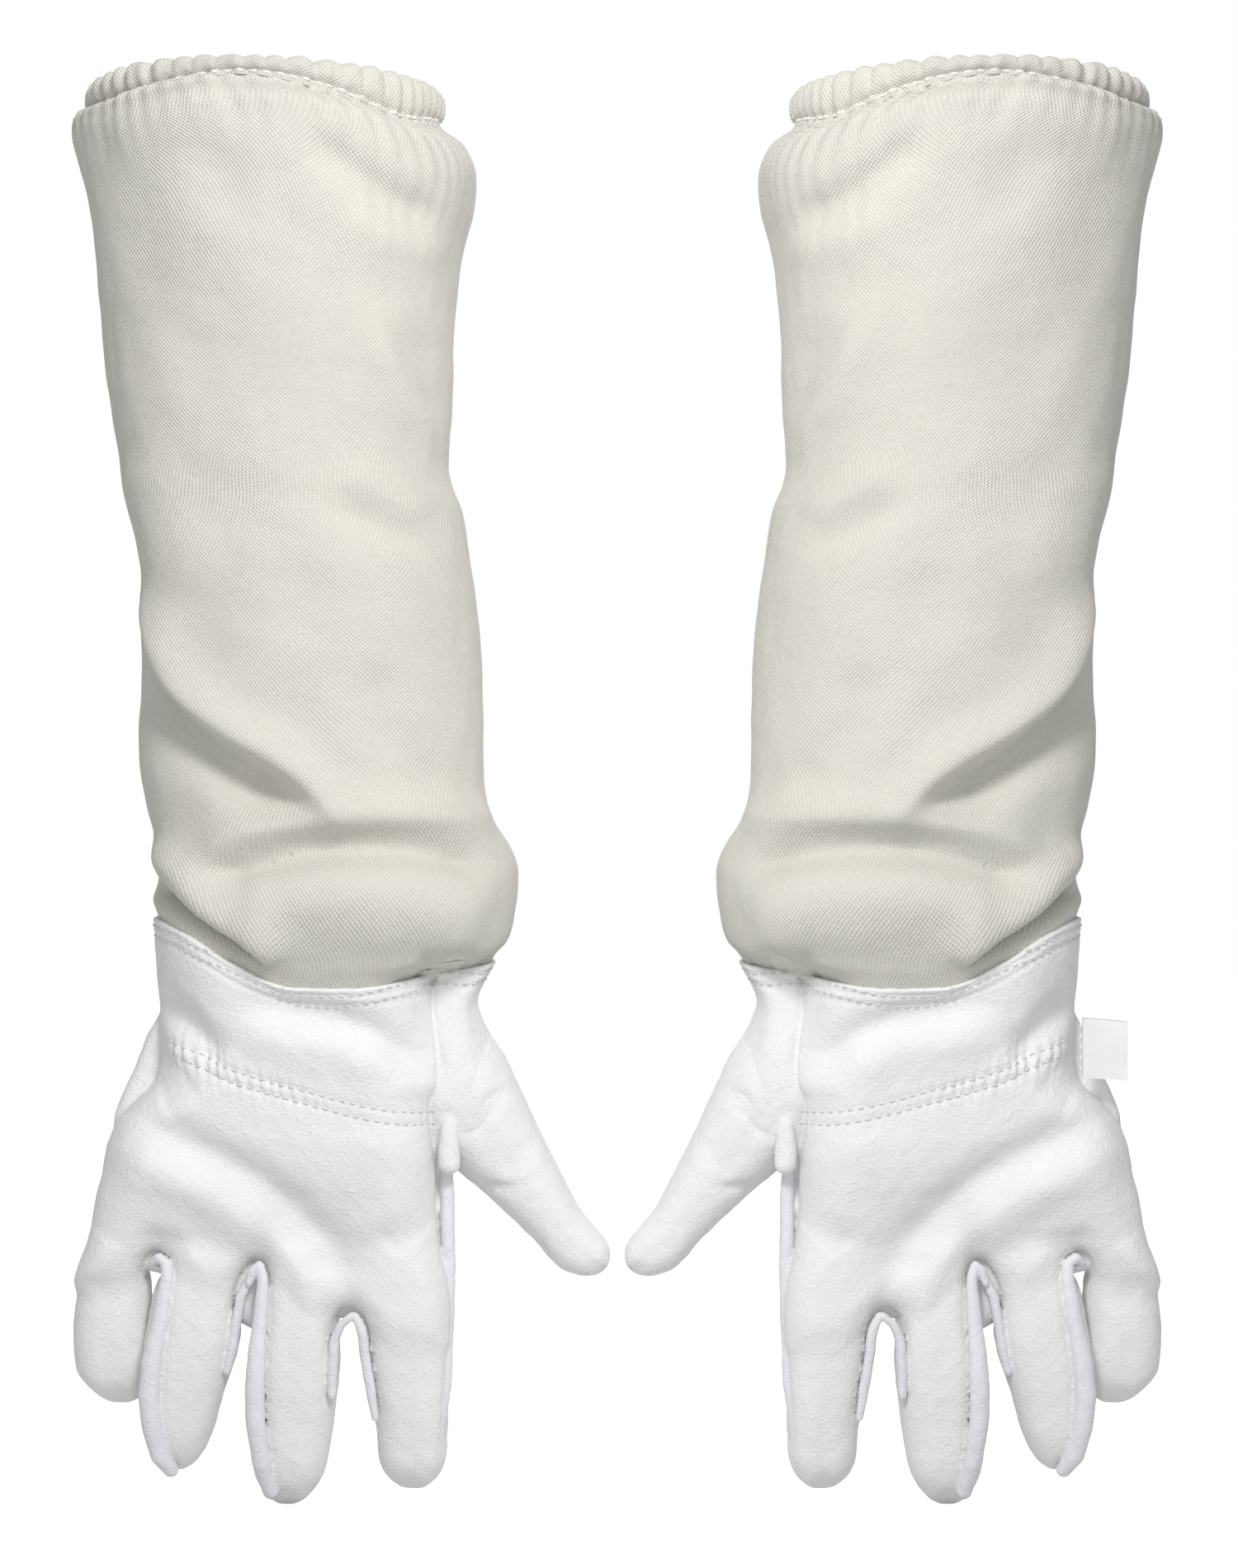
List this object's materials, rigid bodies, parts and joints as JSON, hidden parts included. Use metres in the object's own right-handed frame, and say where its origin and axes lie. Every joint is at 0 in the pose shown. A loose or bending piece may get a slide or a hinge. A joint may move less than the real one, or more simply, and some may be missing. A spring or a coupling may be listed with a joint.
{
  "type": "beekeeping gloves",
  "caption": "Pair of long beekeeping gloves: leather hands with fourchettes, sewn to canvas gauntlets with an elastic hem.",
  "frame": {"origin": "bottom centre of the pair's bounding box: midway between the two gloves, at fingertip level", "axes": "+Z from the fingertips up the arm to the hem; -Y out of the backs of the hands; +X from the right glove to the left glove"},
  "size_m": [0.3776, 0.1252, 0.4983],
  "materials": {
    "leather": "fine grain, soft satin",
    "fourchette_leather": "thin, fine grain",
    "canvas": "unbleached plain weave",
    "elastic": "braided band",
    "thread": "twisted polyester",
    "label_tape": "satin ribbon"
  },
  "bodies": {
    "right_gauntlet": {"right_gauntlet_sleeve": "canvas", "right_hem_casing": "canvas", "right_hem_elastic": "elastic", "right_hem_stitching": "thread", "right_sleeve_seam_stitching": "thread", "right_cuff_back": "leather", "right_cuff_palm": "leather", "right_cuff_stitching": "thread"},
    "right_hand": {"right_back_panel": "leather", "right_palm_panel": "leather", "right_wrist_elastic": "elastic", "right_wrist_stitching": "thread", "right_fourchette_crotches": "fourchette_leather", "right_thumb_base": "leather"},
    "right_index_finger": {"right_index_back": "leather", "right_index_palm": "leather", "right_index_fourchette": "fourchette_leather"},
    "right_middle_finger": {"right_middle_back": "leather", "right_middle_palm": "leather", "right_middle_fourchettes": "fourchette_leather"},
    "right_ring_finger": {"right_ring_back": "leather", "right_ring_palm": "leather", "right_ring_fourchettes": "fourchette_leather"},
    "right_little_finger": {"right_little_back": "leather", "right_little_palm": "leather", "right_little_fourchette": "fourchette_leather"},
    "right_thumb": {"right_thumb_back": "leather", "right_thumb_palm": "leather"},
    "left_gauntlet": {"left_gauntlet_sleeve": "canvas", "left_hem_casing": "canvas", "left_hem_elastic": "elastic", "left_hem_stitching": "thread", "left_sleeve_seam_stitching": "thread", "left_cuff_back": "leather", "left_cuff_palm": "leather", "left_cuff_stitching": "thread"},
    "left_hand": {"left_back_panel": "leather", "left_palm_panel": "leather", "left_wrist_elastic": "elastic", "left_wrist_stitching": "thread", "left_fourchette_crotches": "fourchette_leather", "left_thumb_base": "leather", "left_label_stitching": "thread"},
    "left_index_finger": {"left_index_back": "leather", "left_index_palm": "leather", "left_index_fourchette": "fourchette_leather"},
    "left_middle_finger": {"left_middle_back": "leather", "left_middle_palm": "leather", "left_middle_fourchettes": "fourchette_leather"},
    "left_ring_finger": {"left_ring_back": "leather", "left_ring_palm": "leather", "left_ring_fourchettes": "fourchette_leather"},
    "left_little_finger": {"left_little_back": "leather", "left_little_palm": "leather", "left_little_fourchette": "fourchette_leather"},
    "left_thumb": {"left_thumb_back": "leather", "left_thumb_palm": "leather"},
    "left_label": {"left_size_label": "label_tape"}
  },
  "joints": [
    {"name": "left_glove_apart", "type": "slide", "parent": "right_gauntlet", "child": "left_gauntlet", "axis": [1, 0, 0], "range_m": [0, 0.25]},
    {"name": "right_wrist", "type": "hinge", "parent": "right_gauntlet", "child": "right_hand", "pos_m": [-0.106, 0, 0.17], "axis": [1, 0, 0], "range_deg": [-40, 40]},
    {"name": "right_index_flex", "type": "hinge", "parent": "right_hand", "child": "right_index_finger", "pos_m": [-0.07321, 0, 0.05701], "axis": [0.9994, 0, 0.0349], "range_deg": [-10, 65]},
    {"name": "right_middle_flex", "type": "hinge", "parent": "right_hand", "child": "right_middle_finger", "pos_m": [-0.10975, 0, 0.06314], "axis": [0.9903, 0, -0.1392], "range_deg": [-10, 65]},
    {"name": "right_ring_flex", "type": "hinge", "parent": "right_hand", "child": "right_ring_finger", "pos_m": [-0.14479, 0.001, 0.07128], "axis": [0.9799, 0, -0.1994], "range_deg": [-10, 65]},
    {"name": "right_little_flex", "type": "hinge", "parent": "right_hand", "child": "right_little_finger", "pos_m": [-0.17626, 0.005, 0.0765], "axis": [0.9998, 0, 0.0175], "range_deg": [-10, 65]},
    {"name": "right_thumb_flex", "type": "hinge", "parent": "right_hand", "child": "right_thumb", "pos_m": [-0.04438, 0.009, 0.13485], "axis": [0.788, 0, 0.6157], "range_deg": [-15, 50]},
    {"name": "left_wrist", "type": "hinge", "parent": "left_gauntlet", "child": "left_hand", "pos_m": [0.106, 0, 0.17], "axis": [1, 0, 0], "range_deg": [-40, 40]},
    {"name": "left_index_flex", "type": "hinge", "parent": "left_hand", "child": "left_index_finger", "pos_m": [0.07321, 0, 0.05701], "axis": [0.9994, 0, -0.0349], "range_deg": [-10, 65]},
    {"name": "left_middle_flex", "type": "hinge", "parent": "left_hand", "child": "left_middle_finger", "pos_m": [0.10975, 0, 0.06314], "axis": [0.9903, 0, 0.1392], "range_deg": [-10, 65]},
    {"name": "left_ring_flex", "type": "hinge", "parent": "left_hand", "child": "left_ring_finger", "pos_m": [0.14479, 0.001, 0.07128], "axis": [0.9799, 0, 0.1994], "range_deg": [-10, 65]},
    {"name": "left_little_flex", "type": "hinge", "parent": "left_hand", "child": "left_little_finger", "pos_m": [0.17626, 0.005, 0.0765], "axis": [0.9998, 0, -0.0175], "range_deg": [-10, 65]},
    {"name": "left_thumb_flex", "type": "hinge", "parent": "left_hand", "child": "left_thumb", "pos_m": [0.04438, 0.009, 0.13485], "axis": [0.788, 0, -0.6157], "range_deg": [-15, 50]},
    {"name": "left_label_flap", "type": "hinge", "parent": "left_hand", "child": "left_label", "pos_m": [0.1611, -0.018, 0.155], "axis": [0, 0, 1], "range_deg": [-70, 60]}
  ]
}
